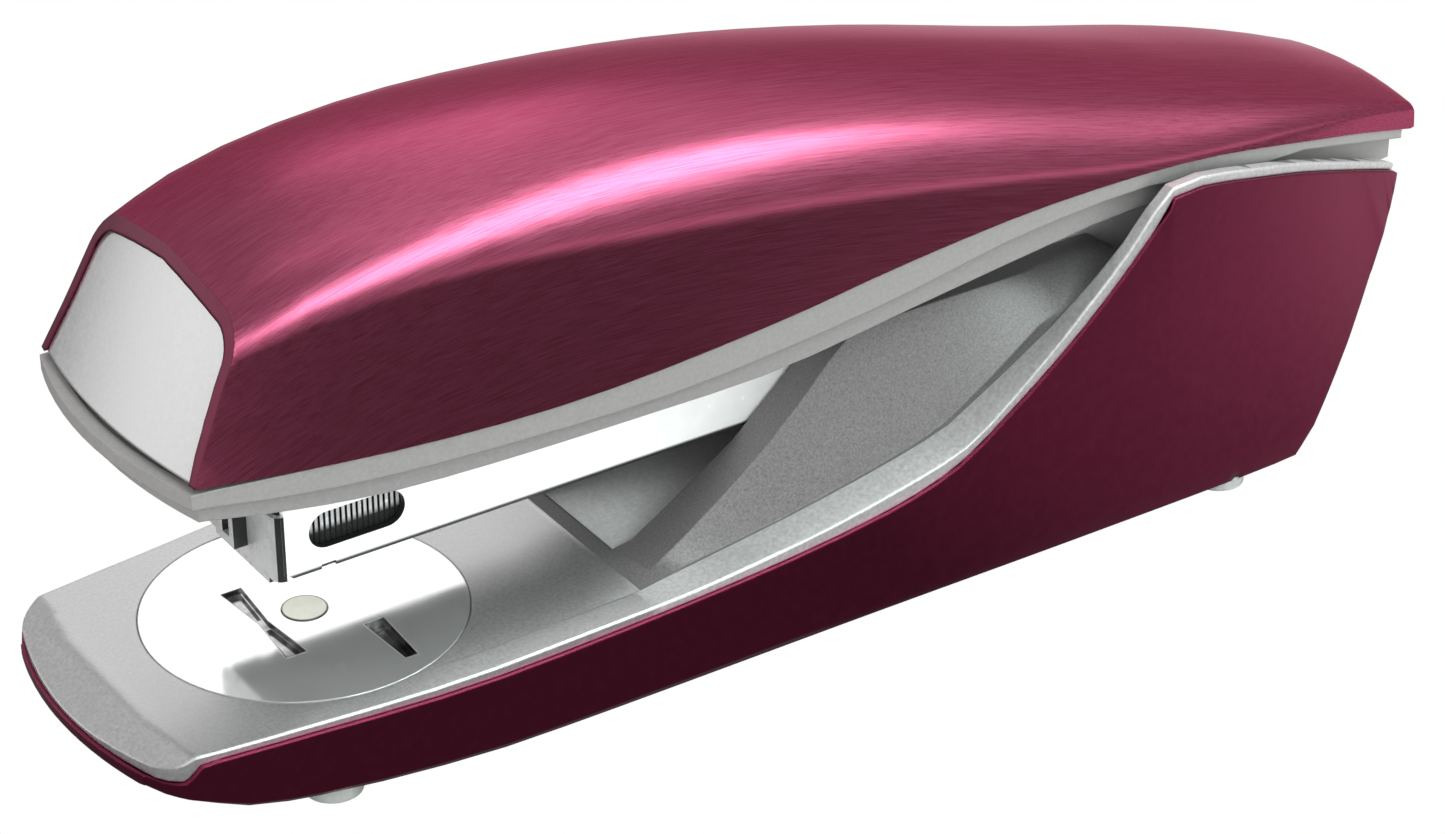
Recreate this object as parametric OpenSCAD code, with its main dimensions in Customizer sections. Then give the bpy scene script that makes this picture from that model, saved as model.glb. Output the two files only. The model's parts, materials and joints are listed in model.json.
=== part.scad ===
// Desk stapler with a top-loading magazine, a sprung press handle and a turning anvil.
// The nose points to -X, the hinge is near the +X end, and the feet stand on Z = 0.
// Every length is in millimetres.

/* [Overall] */
// Length from the front lip of the base to the tail of the handle
body_length = 164; // [162:0.5:166]
// Height of the handle's crown above the table
body_height = 60.25; // [59.75:0.25:61.25]
// Greatest width of the base
base_width = 44; // [43.5:0.25:45]
// Greatest width of the handle
handle_width = 38; // [37:0.25:38.25]

/* [Base] */
// Height of the paper deck above the table
deck_z = 10.75; // [10.4:0.05:10.85]
// Height of the base wall's lower edge above the table
foot_h = 1.25; // [1:0.25:1.5]
// Wall of the outer base shell
shell_wall = 1.2; // [1:0.1:1.3]
// Thickness of the deck under the anvil and under the magazine slot
liner_skin = 2.1; // [1.8:0.1:2.2]
// Thickness of the bottom plate
bottom_t = 1.5; // [1.2:0.1:1.6]
// Radius of a rubber foot
foot_r = 3; // [2.5:0.25:3.25]
// Radius of the screws in the base
screw_r = 1.2; // [1:0.1:1.3]

/* [Anvil] */
// Distance of the anvil's centre from the base's front lip
anvil_setback = 27; // [26.5:0.25:27.5]
// Radius of the turning anvil plate
anvil_r = 16.6; // [15.5:0.1:16.8]
// Thickness of the anvil plate
anvil_t = 1.2; // [1:0.1:1.3]
// Radius of the stem that the anvil turns on
stem_r = 2.35; // [2:0.05:2.6]
// Height that the stem lifts the anvil before it turns
anvil_lift = 0.8; // [0.5:0.1:0.9]

/* [Hinge] */
// Distance of the hinge pin in front of the handle's tail
pin_setback = 7.5; // [7:0.25:8]
// Depth of the hinge pin below the lower edge of the handle's cover
pin_drop = 3.6; // [3.4:0.1:4.1]
// Radius of the hinge pin
pin_r = 1.5; // [1.2:0.1:1.7]
// Radial clearance of each hinge bore
pin_gap = 0.06; // [0.03:0.01:0.1]
// Radius of the rounded lugs around the pin
lug_r = 3.2; // [3:0.1:3.2]
// Thickness of the steel hinge bracket
bracket_t = 1.2; // [1:0.1:1.3]

/* [Magazine] */
// Outer width of the staple channel
channel_w = 15; // [14.9:0.05:15.2]
// Wall of the staple channel
channel_t = 0.8; // [0.6:0.05:0.85]
// Height of the staple channel
channel_h = 11.8; // [11:0.1:12]
// Gap between the deck and the channel at rest
throat_h = 9.2; // [8.9:0.1:9.5]
// Outer width of a staple's crown
staple_w = 12.8; // [12.6:0.05:12.9]
// Length of a staple's legs
staple_leg = 6; // [5.8:0.1:6.2]
// Thickness of the staple wire
staple_wire = 0.6; // [0.5:0.05:0.65]
// Length of the loaded staple strip
strip_length = 35; // [25:1:45]
// Length of the pusher block
pusher_length = 12; // [9:1:14]
// Radius of the pusher's guide rod
rod_r = 1; // [0.8:0.1:1.1]

/* [Handle] */
// Thickness of the metal cover
cover_t = 1; // [0.8:0.1:1.1]
// Wall of the handle frame
frame_wall = 1.5; // [1.2:0.1:1.6]
// Inset of the frame's upper step from the cover's side
step_in = 0.3; // [0.2:0.05:0.4]
// Inset of the frame's lower wall from the cover's side
wall_in = 1.8; // [1.7:0.05:2]
// Lean of the nose plate behind the vertical, in degrees
nose_lean = 28; // [26:0.5:30]
// Thickness of the nose plate
nose_t = 1.2; // [1:0.1:1.4]
// Thickness of the driver blade
blade_t = 0.5; // [0.4:0.05:0.6]

/* [Hidden] */
$fn = 48;

// The curves are drawn for this nominal size and stretched to the set size.
nominal_length = 164;
nominal_height = 62;
nominal_deck = 12.5;
stretch_x = body_length / nominal_length;
stretch_z = (body_height - deck_z) / (nominal_height - nominal_deck);
front_x = -body_length / 2;
tail_x = body_length / 2;
anvil_x = front_x + anvil_setback;
pin_x = tail_x - pin_setback;
fit = 0.05;
slide_gap = 0.15;

// A smooth curve through a few points, with each slope taken from the neighbouring points.
function span_of(p, x) = max([for (i = [0:len(p) - 2]) x >= p[i][0] ? i : 0]);
function slope_at(p, i) =
    let (a = max(i - 1, 0), b = min(i + 1, len(p) - 1))
    (p[b][1] - p[a][1]) / (p[b][0] - p[a][0]);
function curve(p, x) =
    let (i = span_of(p, x),
        w = p[i + 1][0] - p[i][0],
        t = min(max((x - p[i][0]) / w, 0), 1),
        m0 = slope_at(p, i) * w,
        m1 = slope_at(p, i + 1) * w)
    (2 * t * t * t - 3 * t * t + 1) * p[i][1] + (t * t * t - 2 * t * t + t) * m0
    + (3 * t * t - 2 * t * t * t) * p[i + 1][1] + (t * t * t - t * t) * m1;
function along(p, x) = curve(p, x / stretch_x);
// The real height of a point drawn at height h over a deck at the nominal height.
function above(h) = deck_z + (h - nominal_deck) * stretch_z;
function steps(a, b, n) = [for (i = [0:n]) a + (b - a) * i / n];

// Handle curves along X: share of the half width, then heights above the table.
cover_plan = [[-76, 0.84], [-55, 0.942], [-30, 0.99], [0, 1], [25, 0.974], [45, 0.905],
    [63, 0.784], [82, 0.568]];
cover_crown = [[-80, 50.4], [-70, 55.6], [-58, 59.9], [-36, 62], [-12, 60.6], [12, 56.6],
    [36, 50.6], [60, 43.8], [73, 40], [82, 36.8]];
cover_edge = [[-76, 41], [-53, 39.2], [-33, 38.7], [-10, 40.3], [5, 42.1], [24, 43.2],
    [45, 41.9], [67, 37.2], [82, 32.8]];
crown_rise = [[-76, 2.2], [-66, 2.4], [-55, 2.2], [-20, 3.4], [36, 4], [60, 2], [82, 1.2]];
side_lean = [[-76, 3.1], [-60, 2.4], [-20, 1.2], [40, 0.8], [82, 0.2]];
shoulder_r = [[-76, 2.5], [-68, 3.2], [-60, 4.6], [-45, 5.4], [-20, 7], [30, 6], [60, 3],
    [82, 0.9]];
step_edge = [[-76, 38.9], [-61, 37], [-40, 36], [-22, 35.9], [-5, 37.2], [6.5, 38.6], [20, 40.6],
    [38, 40.9], [50, 38.5], [56, 37.9], [62, 37.3], [70, 35.1], [80, 32.2]];
wall_edge = [[-76, 36.8], [-65, 35], [-52, 33.7], [-23, 33.4], [-9, 33.6], [8, 35.6], [24, 37.2],
    [37, 37.8], [50, 35.8], [60, 33.4], [68, 31.2], [75, 29.6], [80, 29.4]];
step_crest = [[-76, 40.3], [-60, 39.5], [-53, 39.2], [-33, 38.7], [-10, 40.3], [5, 42.1],
    [24, 43.2], [45, 41.9], [67, 37.2], [82, 32.8]];
wall_crest = [[-76, 40], [-71, 40], [-66, 44.9], [20, 44.9], [36, 44.4], [50, 42], [60, 39.3],
    [70, 36.3], [80, 33.6]];

// Base curves along X: shares of the half width, then heights above the deck.
rim_plan = [[-80, 0.77], [-70, 0.83], [-62, 0.87], [-54, 0.912], [-45, 0.942], [5, 0.968],
    [30, 0.964], [38, 0.945], [50, 0.873], [60, 0.782], [70, 0.68], [80, 0.566]];
foot_plan = [[-80, 0.77], [-70, 0.83], [-55, 0.915], [-40, 0.957], [0, 0.98], [30, 1], [55, 1],
    [64, 0.96], [72, 0.88]];
rim_rise = [[-82, -2.5], [-77.2, -2.5], [-76.4, -1.8], [-75.6, -1], [-74, -0.85], [-54, -0.85],
    [-42, -0.7], [-33, -0.4], [-21, 0.2], [-9, 1.1], [3, 2.7], [11, 5.1], [18.4, 9.9], [23.5, 13.6],
    [28.7, 17.9], [33.9, 22.8], [38.6, 27.4]];
wall_top = [[38.6, 40.5], [43, 40.4], [50, 38.8], [59, 36.3], [66.4, 33.8], [75.4, 30.5], [77.4, 29.6],
    [78.6, 28.7], [79.4, 27.4]];
lip_rise = [[38, 1.05], [59, 1.05], [75.4, 0.85], [79.4, 0.85]];
belly = [[-82, 6], [-78, 5.3], [-75, 3.9], [-70.6, 2.1], [-65, 1.2], [-55, 0.5], [-42, 0], [0, 0]];
rear_slant = [[2.2, 57.2], [3, 58.7], [4.5, 61.1], [7, 64], [10.8, 66.6], [17.8, 70.75], [24.3, 75.2],
    [28.4, 78], [42, 87]];

// Liner curves along X: heights above the deck of the ledge, the cheek's foot and the tower.
ledge_rise = [[-84, -3], [-81.5, -1.8], [-78.7, -0.35], [-78.1, 0], [-76, 0], [-55, 0.1],
    [-32.6, 0.7], [-20.7, 1.2], [-8.4, 2.5], [1.6, 4.2], [11.8, 6.8], [16.8, 10], [21.9, 14],
    [27, 18.3], [32.2, 23], [36.1, 27.2], [38.6, 28.8]];
cheek_rise = [[-84, -3], [-81.5, -1.8], [-78.7, -0.35], [-78.1, 0], [-76, 0], [-30, 0],
    [-27.3, 0.6], [-18.7, 1.9], [-6.4, 3.7], [6.3, 6.3], [13.9, 9.3], [19, 12.2], [24.2, 15.8],
    [30, 17.5], [40, 17.5]];
inner_in = [[-82, 3.8], [10, 3.8], [24, 2.9], [32, 2.1], [37, 1.9], [80, 1.9]];

function half_cover(x) = along(cover_plan, x) * handle_width / 2;
function cover_top(x) = above(along(cover_crown, x));
function cover_low(x) = above(along(cover_edge, x));
pin_z = cover_low(pin_x) - pin_drop;
corner_r = 3.4;
corner_x = front_x + 2.6;
function corner_cut(x, r) =
    x < corner_x + r ? r - sqrt(max(r * r - pow(min(corner_x + r - x, r), 2), 0)) : 0;
function half_rim(x) = along(rim_plan, x) * base_width / 2 - corner_cut(x, corner_r);
function half_foot(x) = along(foot_plan, x) * base_width / 2 - corner_cut(x, corner_r);
sweep_end = 38.6 * stretch_x;
function rim_z(x) = x < sweep_end ? deck_z + along(rim_rise, x) * stretch_z
    : above(along(wall_top, x));
// The crease across the front of the deck bows back towards the sides.
function bow(x, y) = x < -60 ? y * y / 140 : 0;
function ledge_z(x, y) = max(rim_z(x) + 0.45, x < sweep_end
    ? deck_z + along(ledge_rise, x - bow(x, y)) * stretch_z : rim_z(x) + along(lip_rise, x));
function cheek_z(x, y) = deck_z + along(cheek_rise, x - bow(x, y)) * stretch_z;
function keel(x) = foot_h + max(along(belly, x), 0);
function back_x(z) = curve(rear_slant, nominal_deck + (z - deck_z) / stretch_z) * stretch_x;

// A solid between cross-sections that all have the same number of points.
module loft(rings) {
    n = len(rings[0]);
    m = len(rings);
    polyhedron(
        points = [for (r = rings) each r],
        faces = concat(
            [[for (i = [0:n - 1]) i]],
            [[for (i = [n - 1:-1:0]) (m - 1) * n + i]],
            [for (k = [0:m - 2], i = [0:n - 1]) each [
                [k * n + i, (k + 1) * n + (i + 1) % n, k * n + (i + 1) % n],
                [k * n + i, (k + 1) * n + i, (k + 1) * n + (i + 1) % n]]]),
        convexity = 8);
}

// A ring at x made from its right half, listed from the bottom up, and that half mirrored.
function ring(x, half) = concat(
    [for (p = half) [x, p[0], p[1]]],
    [for (i = [len(half) - 1:-1:0]) [x, -half[i][0], half[i][1]]]);

// A flat plate cut from a side view, between two distances from the middle plane.
module side_plate(outline, y0, y1) {
    translate([0, y1, 0])
        rotate([90, 0, 0])
            linear_extrude(y1 - y0)
                polygon(outline);
}

module both_sides() {
    children();
    mirror([0, 1, 0]) children();
}

module pin_bore(x, z, r, half) {
    translate([x, half, z])
        rotate([90, 0, 0])
            cylinder(r = r, h = 2 * half);
}

// A coil of round wire standing on Z = 0.
module coil(r, wire, height, turns) {
    per = 14;
    n = turns * per;
    lift = height - wire;
    loft([for (i = [0:n])
        let (a = 360 * i / per, z = wire / 2 + lift * i / n)
        [for (k = [0:5])
            let (b = -60 * k, d = r - wire / 2 + wire / 2 * cos(b))
            [d * cos(a), d * sin(a), z + wire / 2 * sin(b)]]]);
}

// ---------------------------------------------------------------- base

base_stations = concat(
    [for (d = [0, 1.2, 2.2, 3.2, 4.1, 4.8, 5.3, 5.8, 6.4, 8, 11, 15]) front_x + d],
    steps(-64, -4, 9) * stretch_x,
    steps(2, 38, 12) * stretch_x,
    [sweep_end],
    steps(43, 75, 8) * stretch_x,
    [for (x = [76.4, 77.4, 78.3, 79, 79.6, 82]) x * stretch_x]);
tower_front = anvil_x + 28.7;
front_drum_r = 45;
back_drum_r = 90;
back_lean = 34;
plate_z = foot_h + 1.6;
cavity_z = deck_z - anvil_t - liner_skin;
slot_z = cavity_z + liner_skin - 0.2;
slot_half = channel_w / 2 + 0.8;
slot_front = anvil_x + 31.5;
cavity_front = 37 * stretch_x;
notch_half = 12;
notch_z = pin_z - 5.6;

// Cuts a body back to the curved front lip, up to the height top.
module front_trim(inset, top) {
    difference() {
        translate([front_x - 5, -base_width, -1])
            cube([18, base_width * 2, top + 1]);
        translate([front_x + inset + front_drum_r, 0, -2])
            cylinder(r = front_drum_r, h = top + 4, $fn = 240);
    }
}

// Cuts a body back to the slanted, slightly bulging rear face.
module rear_trim(inset) {
    zs = [for (h = [2.2, 3, 4.5, 7, 10.8, 17.8, 24.3, 28.4, 42]) above(h)];
    side_plate(concat([[back_x(zs[0]) - inset, -2]], [for (z = zs) [back_x(z) - inset, z]],
        [[tail_x + 20, zs[8]], [tail_x + 20, -2]]), -base_width, base_width);
    difference() {
        translate([40, -base_width, -1])
            cube([80, base_width * 2, body_height]);
        translate([back_x(above(17.8)) + 0.6 - inset, 0, above(17.8)])
            rotate([0, back_lean, 0])
                translate([-back_drum_r, 0, -80])
                    cylinder(r = back_drum_r, h = 160, $fn = 240);
    }
}

// The outside of the base, drawn in by inset and stretched down and up by drop and rise.
module base_body(inset, drop, rise) {
    shares = [0, 0.1, 0.35, 0.65, 1];
    difference() {
        loft([for (x = base_stations)
            let (b = keel(x), t = rim_z(x), f = half_foot(x) - inset, w = half_rim(x) - inset)
            ring(x, concat([for (s = shares)
                [f + (w - f) * pow(s, 1.4) - (s == 0 ? 0.7 : 0), s == 0 ? b - drop : b + (t - b) * s]],
                rise > 0 ? [[w, t + rise]] : []))]);
        front_trim(inset, deck_z + 10);
        rear_trim(inset);
    }
}

module base_shell() {
    color("#5d1a31")
        difference() {
            base_body(0, 0, 0);
            base_body(shell_wall, 9, 20);
            rear_notch();
            foot_sites()
                cylinder(r = foot_r + 0.15, h = plate_z + 1);
        }
}

// Opening in the rear wall that the handle's tail swings through.
module rear_notch() {
    translate([pin_x - 1, -notch_half, notch_z])
        cube([30, 2 * notch_half, 40]);
}

front_foot_in = 4.7;
rear_foot_in = 3.8;
module foot_sites() {
    for (s = [-1, 1]) {
        translate([anvil_x - 5.5, s * (half_foot(anvil_x - 5.5) - front_foot_in), 0]) children();
        translate([anvil_x + 104.3, s * (half_foot(anvil_x + 104.3) - rear_foot_in), 0]) children();
    }
}

tower_rise = [[0, 0], [10, 5.9], [20, 12.4], [30, 19.5]];
tower_width = [[0, 15.4], [10, 15.1], [19, 14.2], [28, 12.3]];
function tower_z(x) = deck_z + curve(tower_rise, max(x - tower_front, 0));
function tower_half(x) = curve(tower_width, max(x - tower_front, 0));
function funnel(x) = min(max((x - tower_front) * 0.45, 0), 2.2)
    * min(max((anvil_x + 56 - x) / 8, 0.2), 1);
liner_in = shell_wall + fit;
lip_in = 0.4;
function cheek_y(x) = 17 - corner_cut(x, corner_r);

module base_liner() {
    xs = concat(
        [for (d = [0.3, 1.2, 2.1, 3, 3.6, 4.3, 4.8, 5.3, 5.8, 6.4, 9, 13]) front_x + d],
        steps(front_x + 18, tower_front - 5.7, 5),
        [tower_front - 0.3, tower_front + 0.3, tower_front + 2.5, tower_front + 4.9],
        steps(tower_front + 7.5, -4 * stretch_x, 3),
        steps(0, 12, 4) * stretch_x,
        steps(15, 36, 7) * stretch_x,
        [sweep_end],
        steps(43, 75, 8) * stretch_x,
        [for (x = [76.4, 77.4, 78.3, 79, 79.6]) x * stretch_x]);
    color("#a9a7ac")
        difference() {
            loft([for (x = xs)
                let (w = half_rim(x) - liner_in,
                    i = half_rim(x) - along(inner_in, x),
                    c = min(cheek_y(x), i - 0.3),
                    rz = rim_z(x) + fit,
                    lz = ledge_z(x, w),
                    cz = min(cheek_z(x, c), lz + 1),
                    dz = min(cheek_z(x, slot_half), lz + 1),
                    t = min(tower_half(x), c - 0.8),
                    tz = x < tower_front ? cz : max(tower_z(x), cz))
                ring(x, [[w - 0.4, max(plate_z + bottom_t, keel(x) + 0.4)], [w, rz],
                    [w + liner_in - lip_in, rz], [w + liner_in - lip_in, lz - 0.2],
                    [w + liner_in - lip_in - 0.2, lz],
                    [i, max(lz - 0.1, cz)], [i - 0.1, cz], [c, cz], [t, tz],
                    [slot_half, (x < tower_front ? dz : tz) - funnel(x)]])]);
            front_trim(liner_in + 0.1, rim_z(front_x) + fit);
            front_trim(lip_in, deck_z + 10);
            rear_trim(liner_in);
            anvil_seat();
            magazine_slot();
            rear_cavity();
            under_cores();
            rear_notch();
            base_screw_sites()
                cylinder(r = screw_r - 0.05, h = 5, center = true);
            bracket_screw_sites()
                cylinder(r = screw_r - 0.05, h = slot_z + 1);
        }
}

module anvil_seat() {
    translate([anvil_x, 0, deck_z - anvil_t])
        cylinder(r = anvil_r + 0.1, h = 6, $fn = 120);
    translate([anvil_x, 0, 0])
        cylinder(r = stem_r + fit, h = deck_z);
}

module magazine_slot() {
    translate([slot_front, -slot_half, slot_z])
        cube([cavity_front + 20 - slot_front, 2 * slot_half, 60]);
    both_sides()
        side_plate([[tower_front + 2.4, deck_z + 6], [tower_front + 2.4, deck_z + 0.3],
            [slot_front + 3, slot_z], [slot_front + 4, deck_z + 6]], 0, slot_half);
}

// The open space inside the rear housing.
module rear_cavity() {
    xs = steps(cavity_front, 84 * stretch_x, 11);
    difference() {
        loft([for (x = xs)
            let (i = half_rim(x) - along(inner_in, x))
            ring(x, [[i, slot_z], [i, body_height]])]);
        rear_trim(along(inner_in, tail_x));
    }
}

// The space between the liner and the bottom plate, with bosses left for the screws.
module under_cores() {
    xs = steps(-64, 54, 12) * stretch_x;
    difference() {
        union() {
            loft([for (x = xs) ring(x, [[half_rim(x) - 3.6, plate_z], [half_rim(x) - 3.6, cavity_z]])]);
            both_sides()
                side_plate([[tower_front + 6, cavity_z - 1], [tower_front + 8, cavity_z + 1],
                    [tower_front + 24, deck_z + 12], [26, deck_z + 15], [26, cavity_z - 1]],
                    slot_half + 1.6, 12);
        }
        base_screw_sites()
            cylinder(r = 3.2, h = cavity_z);
        bracket_screw_sites()
            cylinder(r = 3.2, h = cavity_z);
    }
}

module base_screw_sites() {
    for (x = [anvil_x + 24, 44 * stretch_x], s = [-1, 1])
        translate([x, s * 11, plate_z + bottom_t]) children();
}

module bracket_screw_sites() {
    for (x = [44, 55])
        translate([x * stretch_x, 0, 0]) children();
}

module bottom_plate() {
    xs = steps(-62, 58, 12) * stretch_x;
    color("#2f2f33")
        difference() {
            translate([0, 0, plate_z])
                linear_extrude(bottom_t)
                    polygon(concat(
                        [for (x = xs) [x, half_foot(x) - shell_wall - 0.9]],
                        [for (i = [len(xs) - 1:-1:0]) [xs[i], -half_foot(xs[i]) + shell_wall + 0.9]]));
            base_screw_sites()
                cylinder(r = screw_r + fit, h = 10, center = true);
            foot_sites()
                cylinder(r = 1.2, h = 10);
            translate([anvil_x, 0, 0])
                cylinder(r = stem_r + 2.4, h = 10);
        }
}

module rubber_feet() {
    color("#b9bbb9")
        foot_sites() {
            cylinder(r = foot_r, h = plate_z);
            cylinder(r = 1.2, h = plate_z + bottom_t);
        }
}

module base_screws() {
    color("#c9c9cc")
        base_screw_sites() {
            translate([0, 0, -bottom_t - 1.2])
                difference() {
                    cylinder(r = 2.2, h = 1.2);
                    for (a = [0, 90])
                        rotate(a)
                            translate([-1.5, -0.25, -0.1])
                                cube([3, 0.5, 0.7]);
                }
            translate([0, 0, -bottom_t - 0.1])
                cylinder(r = screw_r - 0.05, h = bottom_t + 2.2);
        }
}

ear_out = channel_w / 2 - channel_t - 0.2;
ear_in = ear_out - bracket_t;
module hinge_bracket() {
    foot_end = back_x(slot_z) - 4.2;
    color("#9a9da2")
        difference() {
            union() {
                translate([39 * stretch_x, -ear_out, slot_z])
                    cube([foot_end - 39 * stretch_x, 2 * ear_out, bracket_t]);
                both_sides() {
                    side_plate([[50 * stretch_x, slot_z], [foot_end, slot_z],
                        [back_x(above(20)) - 2.1, above(20)], [pin_x + 1, pin_z - 3.5], [pin_x, pin_z],
                        [pin_x - 2.5, pin_z - 1.5], [pin_x - 7, pin_z - 7.5],
                        [pin_x - 7.2, channel_z - 2.2], [58 * stretch_x, channel_z - 2.2]],
                        ear_in, ear_out);
                    translate([pin_x, ear_out, pin_z])
                        rotate([90, 0, 0])
                            cylinder(r = lug_r - 0.2, h = bracket_t);
                }
            }
            pin_bore(pin_x, pin_z, pin_r + pin_gap / 3, 20);
            bracket_screw_sites()
                cylinder(r = screw_r + fit, h = 20);
        }
}

module bracket_screws() {
    color("#c9c9cc")
        bracket_screw_sites() {
            translate([0, 0, slot_z + bracket_t])
                difference() {
                    cylinder(r = 2.2, h = 1.1);
                    translate([-3, -0.3, 0.6])
                        cube([6, 0.6, 1]);
                }
            translate([0, 0, cavity_z - 1.5])
                cylinder(r = screw_r - 0.05, h = slot_z + bracket_t + 1.6 - cavity_z);
        }
}

frame_ear_in = channel_w / 2 + 0.2;
frame_ear_t = 1;
pin_half = frame_ear_in + frame_ear_t + 0.7;
clip_y = pin_half - 0.4;
module hinge_pin() {
    color("#c4c6ca")
        difference() {
            translate([pin_x, pin_half, pin_z])
                rotate([90, 0, 0])
                    cylinder(r = pin_r, h = 2 * pin_half);
            for (s = [-1, 1])
                translate([pin_x, s * clip_y + 0.25, pin_z])
                    rotate([90, 0, 0])
                        difference() {
                            cylinder(r = pin_r + 1, h = 0.5);
                            translate([0, 0, -1])
                                cylinder(r = pin_r - 0.35, h = 3);
                        }
        }
}

module pin_clips() {
    color("#85888d")
        for (s = [-1, 1])
            translate([pin_x, s * clip_y + 0.2, pin_z])
                rotate([90, 0, 0])
                    difference() {
                        cylinder(r = pin_r + 0.9, h = 0.4);
                        translate([0, 0, -1])
                            cylinder(r = pin_r - 0.35, h = 3);
                        translate([0, -pin_r + 0.6, -1])
                            cube([5, 2 * pin_r - 1.2, 3]);
                    }
}

spring_x = 30 * stretch_x;
channel_z = deck_z + throat_h;
module lift_spring() {
    color("#8d9096")
        translate([spring_x, 0, slot_z])
            coil(4.6, 0.9, channel_z - slot_z, 5);
}

// ---------------------------------------------------------------- anvil

module anvil_plate() {
    slot_x = 4.65;
    color("#e3e3e6")
        difference() {
            translate([anvil_x, 0, deck_z - anvil_t])
                cylinder(r = anvil_r, h = anvil_t, $fn = 120);
            translate([anvil_x, 0, 0])
                cylinder(r = stem_r, h = 20);
            both_sides() {
                translate([anvil_x - slot_x, 0, 0]) {
                    translate([0, 0, deck_z - 0.35])
                        linear_extrude(2)
                            polygon([[-0.5, -0.1], [-1.15, 6.9], [1.15, 6.9], [0.5, -0.1]]);
                    translate([0, 0, deck_z - 0.75])
                        linear_extrude(2)
                            polygon([[-0.3, 1], [-0.8, 6.5], [0.8, 6.5], [0.3, 1]]);
                }
                translate([anvil_x + slot_x, 0, 0]) {
                    translate([0, 0, deck_z - 0.35])
                        linear_extrude(2)
                            polygon([[-1.15, 5.85], [-0.7, 13.4], [0.7, 13.4], [1.15, 5.85]]);
                    translate([0, 0, deck_z - 0.75])
                        linear_extrude(2)
                            polygon([[-0.8, 6.3], [-0.4, 13], [0.4, 13], [0.8, 6.3]]);
                }
            }
        }
}

stem_low = cavity_z - 2.7;
module anvil_stem() {
    color("#ddd6c4")
        difference() {
            translate([anvil_x, 0, stem_low])
                cylinder(r = stem_r - 0.03, h = deck_z + 0.1 - stem_low);
            translate([anvil_x, 0, stem_low + 0.5])
                difference() {
                    cylinder(r = stem_r + 1, h = 0.5);
                    translate([0, 0, -1])
                        cylinder(r = stem_r - 0.5, h = 3);
                }
        }
}

module anvil_clip() {
    color("#85888d")
        translate([anvil_x, 0, stem_low + 0.55])
            difference() {
                cylinder(r = stem_r + 1.7, h = 0.4);
                translate([0, 0, -1])
                    cylinder(r = stem_r - 0.45, h = 3);
                translate([-5, -stem_r + 0.9, -1])
                    cube([5, 2 * stem_r - 1.8, 3]);
            }
}

module anvil_spring() {
    color("#8d9096")
        translate([anvil_x, 0, stem_low + 0.95])
            coil(stem_r + 1.1, 0.4, cavity_z - stem_low - 0.95, 3);
}

// ---------------------------------------------------------------- magazine

nose_x = anvil_x - 6.5;
nose_wall = 0.55;
blade_x = nose_x + nose_wall + 0.15;
strip_x = blade_x + blade_t + 0.6;
channel_in = channel_w / 2 - channel_t;
floor_z = channel_z + channel_t;
crown_z = floor_z + staple_leg;
rail_end = 18 * stretch_x;
stop_x = rail_end + 2;
stop_t = 2.5;
rod_z = crown_z + 2.7;

module magazine_channel() {
    top = channel_z + channel_h;
    outline = [[nose_x + 1.1, channel_z + 0.6], [nose_x + 1.8, channel_z], [66 * stretch_x, channel_z],
        [pin_x + 2.2, pin_z - 2.2], [pin_x, pin_z], [pin_x - 1.4, pin_z + 2.7], [pin_x - 6, pin_z + 2.6],
        [62 * stretch_x, top], [nose_x + 2.6, top], [nose_x + 1.1, top - 1.6]];
    color("#e1e1e4")
        difference() {
            union() {
                both_sides() {
                    side_plate(outline, channel_in, channel_w / 2);
                    translate([pin_x, channel_w / 2, pin_z])
                        rotate([90, 0, 0])
                            cylinder(r = lug_r - 0.1, h = channel_t);
                }
                translate([strip_x - 0.25, -channel_in - 0.1, channel_z])
                    cube([66 * stretch_x - strip_x, 2 * channel_in + 0.2, channel_t]);
            }
            pin_bore(pin_x, pin_z, pin_r + pin_gap, 20);
            both_sides()
                staple_window();
            both_sides()
                translate([anvil_x - 1.6, channel_w / 2 - 0.35, channel_z - 1])
                    cube([1.6, 1, 1.5]);
        }
}

// Slotted window in the side of the channel, where the loaded staples show.
module staple_window() {
    r = 2;
    translate([anvil_x - 2.8 + r, 20, channel_z + 4.3])
        rotate([90, 0, 0])
            cylinder(r = r, h = 20);
    translate([anvil_x + 7.9 - r, 20, channel_z + 4.3])
        rotate([90, 0, 0])
            cylinder(r = r, h = 20);
    translate([anvil_x - 2.8 + r, 0, channel_z + 4.3 - r])
        cube([10.7 - 2 * r, 20, 2 * r]);
}

module magazine_nose() {
    h = 7.3;
    r = 1.1;
    w = channel_w / 2;
    color("#d8d8db")
        difference() {
            union() {
                translate([nose_x, -w + r, channel_z - 0.1])
                    cube([nose_wall, 2 * (w - r), h]);
                both_sides() {
                    translate([nose_x + r, w - r, channel_z - 0.1])
                        intersection() {
                            difference() {
                                cylinder(r = r, h = h);
                                translate([0, 0, -1])
                                    cylinder(r = r - nose_wall, h = h + 2);
                            }
                            translate([-r, 0, 0])
                                cube([r, r, h]);
                        }
                    translate([nose_x + r - 0.3, w - 0.3, channel_z + 0.6])
                        cube([0.3, 0.3, h - 1]);
                }
                translate([nose_x + 0.1, -5.6, channel_z - 0.9])
                    cube([nose_wall, 11.2, 1.2]);
                translate([nose_x - 1.5, -1.6, channel_z + 1.4])
                    cube([1.6, 3.2, 5]);
            }
            translate([nose_x - 2, -0.7, channel_z + 2.4])
                cube([1.2, 1.4, 3]);
        }
}

rail_w = staple_w - 2 * staple_wire - 0.5;
module staple_rail() {
    h = staple_leg - staple_wire - 0.1;
    color("#b4b6ba")
        difference() {
            translate([strip_x, -rail_w / 2, floor_z])
                cube([stop_x - strip_x, rail_w, h]);
            translate([strip_x - 1, -rail_w / 2 + 0.8, floor_z - 1])
                cube([stop_x - strip_x + 2, rail_w - 1.6, h + 0.2]);
        }
}

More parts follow.
